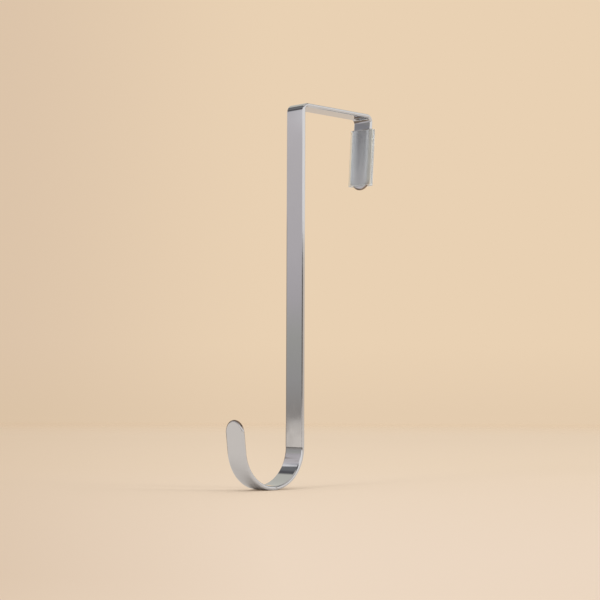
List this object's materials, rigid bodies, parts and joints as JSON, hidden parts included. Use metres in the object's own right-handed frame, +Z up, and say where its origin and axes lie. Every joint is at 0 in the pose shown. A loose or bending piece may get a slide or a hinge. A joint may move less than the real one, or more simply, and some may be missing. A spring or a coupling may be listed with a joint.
{
  "type": "wreath hanger",
  "caption": "Flat metal strip bent to sit over the top of a door, with a J-shaped hook at its foot for a wreath and a clear soft sleeve on its short back leg.",
  "frame": {"origin": "centre of the top bar's flat underside, where the hanger sits on the door's top edge", "axes": "+Z up, along the front strip; +Y from the front strip to the back leg, through the door; +X across the strip's width. The hook opens upwards on the -Y side."},
  "size_m": [0.016, 0.0983, 0.2],
  "materials": {
    "plated_steel": "bright nickel-chrome plating over a drawn steel strip",
    "clear_vinyl": "clear soft vinyl, glossy, slightly grey"
  },
  "bodies": {
    "root": {"hanger_strip": "plated_steel", "leg_sleeve": "clear_vinyl"}
  },
  "joints": []
}
